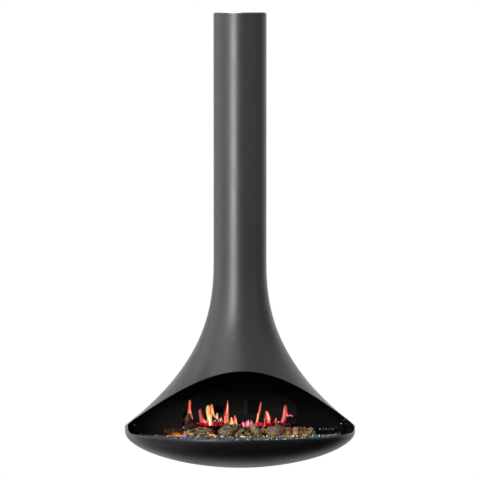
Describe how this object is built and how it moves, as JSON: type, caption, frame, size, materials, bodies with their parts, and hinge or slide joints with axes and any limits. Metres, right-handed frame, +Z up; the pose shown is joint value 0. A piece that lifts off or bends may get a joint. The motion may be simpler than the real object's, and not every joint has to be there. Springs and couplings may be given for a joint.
{
  "type": "suspended electric fireplace",
  "caption": "Flared steel hood on a ceiling tube over a shallow bowl, with an arched opening, mirror-backed flame effect, driftwood, stones and crushed glass.",
  "frame": {"origin": "centre of the ceiling plate's top face, where it meets the ceiling", "axes": "+Z up out of the ceiling face along the tube's axis, -Y out of the firebox opening, +X to the right of someone who faces the opening"},
  "size_m": [0.87, 0.87, 1.718],
  "materials": {
    "shell_paint": "satin dark grey stove paint",
    "lining_paint": "matt black stove paint",
    "lintel_black": "dead matt black",
    "galvanised_steel": "zinc plated",
    "black_steel": "black powder coat",
    "bright_steel": "bright",
    "black_rubber": "matt",
    "smoked_mirror": "smoked, partly silvered",
    "frosted_plastic": "frosted",
    "spindle_foil": "bright foil",
    "circuit_board": "green solder mask",
    "ember_resin": "cast translucent resin, lit from below",
    "crushed_glass": "loose chips of mixed colours",
    "bark": "rough bark",
    "pale_wood": "weathered split wood",
    "bed_stone": "rough, sandy",
    "pumice": "grainy and porous",
    "gloss_black": "gloss",
    "button_grey": "fine satin",
    "lamp_lens": "clear green"
  },
  "bodies": {
    "ceiling_mount": {"ceiling_plate": "galvanised_steel", "cable_grommet": "black_rubber", "thrust_bearing": "bright_steel", "bearing_retainer": "galvanised_steel"},
    "fireplace": {"suspension_pipe": "galvanised_steel", "centering_ring_1": "black_steel", "centering_ring_2": "black_steel", "flue_tube": "shell_paint", "hood_shell": "shell_paint", "bowl_shell": "shell_paint", "neck_coupler": "galvanised_steel", "hanger_plate": "galvanised_steel", "hanger_rib_left": "galvanised_steel", "hanger_rib_right": "galvanised_steel", "rim_ring": "black_steel", "chassis_plate": "galvanised_steel", "side_panel_left": "lining_paint", "side_panel_right": "lining_paint", "lintel_panel": "lintel_black", "mirror_glass": "smoked_mirror", "flame_diffuser": "frosted_plastic", "fascia_screw_left": "bright_steel", "fascia_screw_right": "bright_steel", "flame_housing": "black_steel", "flame_mask": "black_steel", "spindle_motor": "galvanised_steel", "spindle_bracket_left": "galvanised_steel", "spindle_bracket_right": "galvanised_steel", "flame_led_strip": "circuit_board", "bed_stand": "galvanised_steel", "bed_tray": "black_steel", "ember_bed": "ember_resin", "ember_led_strip": "circuit_board", "crushed_glass": "crushed_glass", "driftwood": "bark", "split_log": "pale_wood", "charred_branch": "bark", "pumice_stone": "pumice", "stone_back_left": "bed_stone", "stone_back_middle": "bed_stone", "stone_middle_small": "bed_stone", "stone_middle_back": "bed_stone", "stone_middle_front": "bed_stone", "stone_right_inner": "bed_stone", "stone_right_large": "pumice", "stone_right_back": "bed_stone", "stone_right_amber": "bed_stone", "stone_right_outer": "bed_stone", "stone_end_inner": "bed_stone", "stone_end_small": "bed_stone", "stone_end_large": "bed_stone", "control_panel": "gloss_black", "control_board": "circuit_board", "status_lamp": "lamp_lens", "power_supply": "galvanised_steel"},
    "spindle": {"flicker_spindle": "spindle_foil"},
    "button_1": {"push_button_1": "button_grey"},
    "button_2": {"push_button_2": "button_grey"},
    "button_3": {"push_button_3": "button_grey"},
    "button_4": {"push_button_4": "button_grey"}
  },
  "joints": [
    {"name": "swivel", "type": "hinge", "parent": "ceiling_mount", "child": "fireplace", "pos_m": [0, 0, -0.05], "axis": [0, 0, 1], "range_deg": [-170, 170]},
    {"name": "spindle_spin", "type": "hinge", "parent": "fireplace", "child": "spindle", "pos_m": [0.006, 0.1952, -1.5865], "axis": [1, 0, 0], "continuous": true},
    {"name": "button_1_press", "type": "slide", "parent": "fireplace", "child": "button_1", "axis": [0, 1, 0], "range_m": [0, 0.0008], "stiffness_N_per_m": 600, "springref_m": -0.0005},
    {"name": "button_2_press", "type": "slide", "parent": "fireplace", "child": "button_2", "axis": [0, 1, 0], "range_m": [0, 0.0008], "stiffness_N_per_m": 600, "springref_m": -0.0005},
    {"name": "button_3_press", "type": "slide", "parent": "fireplace", "child": "button_3", "axis": [0, 1, 0], "range_m": [0, 0.0008], "stiffness_N_per_m": 600, "springref_m": -0.0005},
    {"name": "button_4_press", "type": "slide", "parent": "fireplace", "child": "button_4", "axis": [0, 1, 0], "range_m": [0, 0.0008], "stiffness_N_per_m": 600, "springref_m": -0.0005}
  ]
}
